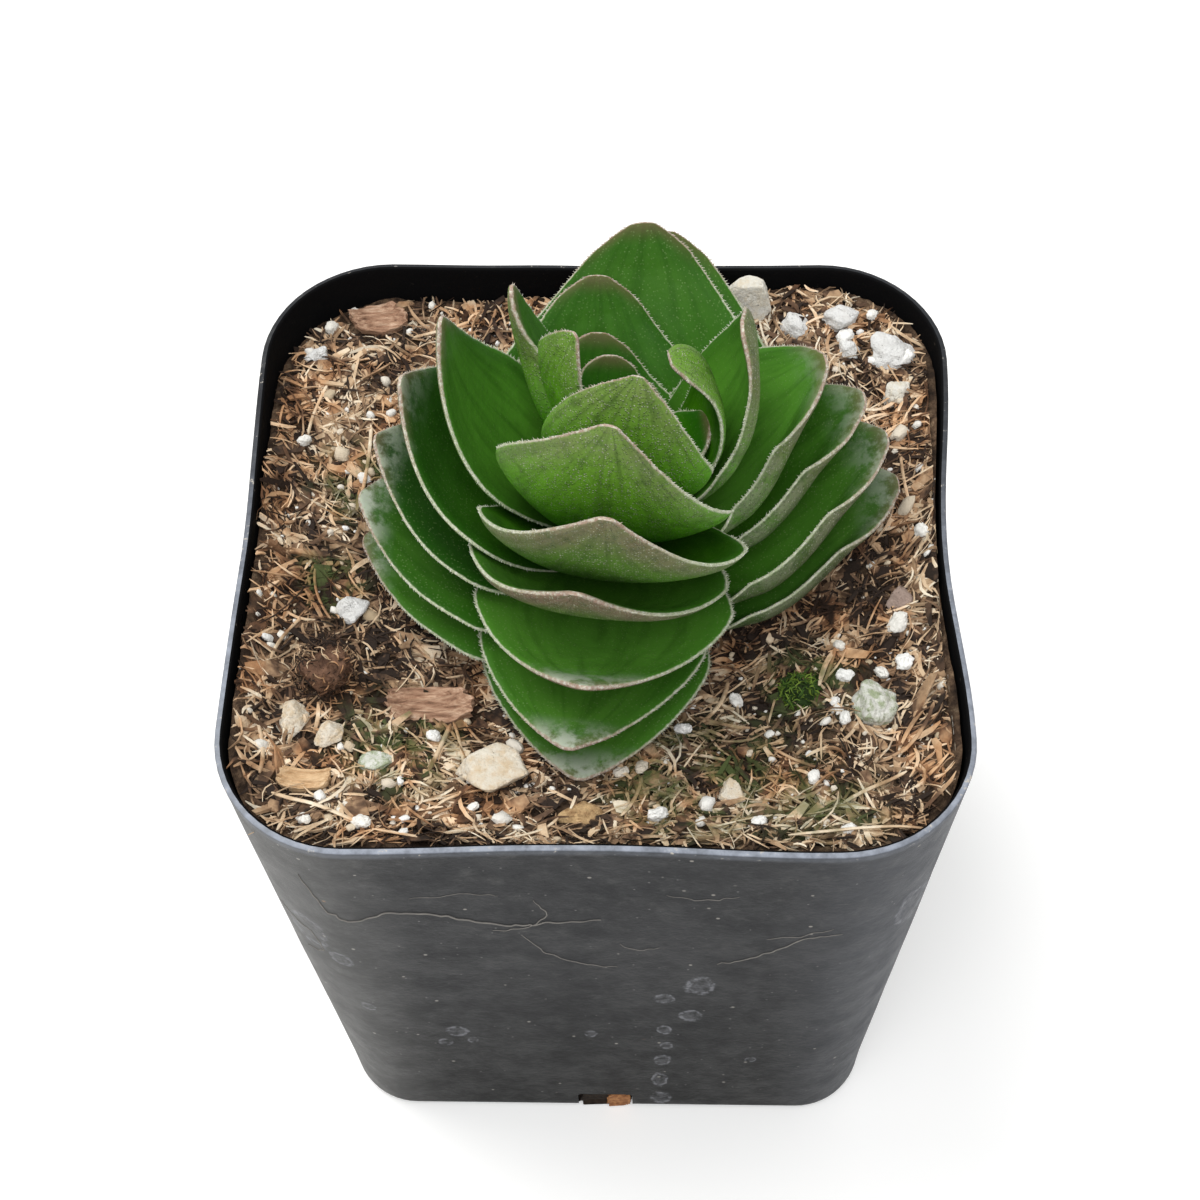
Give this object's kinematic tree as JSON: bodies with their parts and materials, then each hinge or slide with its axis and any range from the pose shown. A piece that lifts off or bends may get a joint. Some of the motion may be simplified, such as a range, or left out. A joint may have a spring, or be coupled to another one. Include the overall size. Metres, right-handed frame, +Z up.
{
  "type": "potted succulent",
  "caption": "Small rosette succulent with four ranks of stacked, cupped triangular leaves, in a tapered square plastic nursery pot of gritty potting mix.",
  "frame": {"origin": "centre of the pot's flat underside, on the surface it stands on", "axes": "+Z up, -Y is the plant's front, +X to its right"},
  "size_m": [0.057, 0.057, 0.0841],
  "materials": {
    "pot_plastic": "matte black moulded plastic with a satin rim",
    "potting_mix": "dry coir and bark fibre with mineral grit",
    "stem": "fresh plant stem",
    "leaf": "waxy green leaf, satin above and finely bumped below, pale margin",
    "pumice": "porous cream stone",
    "perlite": "porous white grit",
    "stone": "dull grit",
    "moss": "fine green moss",
    "bark": "rough bark"
  },
  "bodies": {
    "root": {"pot": "pot_plastic", "soil": "potting_mix", "stem": "stem", "leaf_01_front": "leaf", "leaf_01_back": "leaf", "leaf_02_left": "leaf", "leaf_02_right": "leaf", "leaf_03_front": "leaf", "leaf_03_back": "leaf", "leaf_04_left": "leaf", "leaf_04_right": "leaf", "leaf_05_front": "leaf", "leaf_05_back": "leaf", "leaf_06_left": "leaf", "leaf_06_right": "leaf", "leaf_07_front": "leaf", "leaf_07_back": "leaf", "leaf_08_left": "leaf", "leaf_08_right": "leaf", "leaf_09_front": "leaf", "leaf_09_back": "leaf", "leaf_10_left": "leaf", "leaf_10_right": "leaf", "leaf_11_front": "leaf", "leaf_11_back": "leaf", "leaf_12_left": "leaf", "leaf_12_right": "leaf", "leaf_13_front": "leaf", "leaf_13_back": "leaf", "leaf_14_left": "leaf", "leaf_14_right": "leaf", "stone_tan": "pumice", "pumice_front_left": "pumice", "pumice_front_left_small": "pumice", "pumice_front_right": "pumice", "pumice_back": "pumice", "pumice_back_small": "pumice", "pumice_back_right": "pumice", "perlite_left": "perlite", "perlite_front": "perlite", "perlite_front_left": "perlite", "perlite_right": "perlite", "perlite_back": "perlite", "perlite_back_small": "perlite", "perlite_back_right": "perlite", "perlite_back_left": "perlite", "stone_pink": "stone", "moss_tuft": "moss", "coir_ball": "bark", "bark_crumb": "bark", "bark_chip": "bark", "bark_flake": "bark", "wood_chip": "bark"}
  },
  "joints": []
}
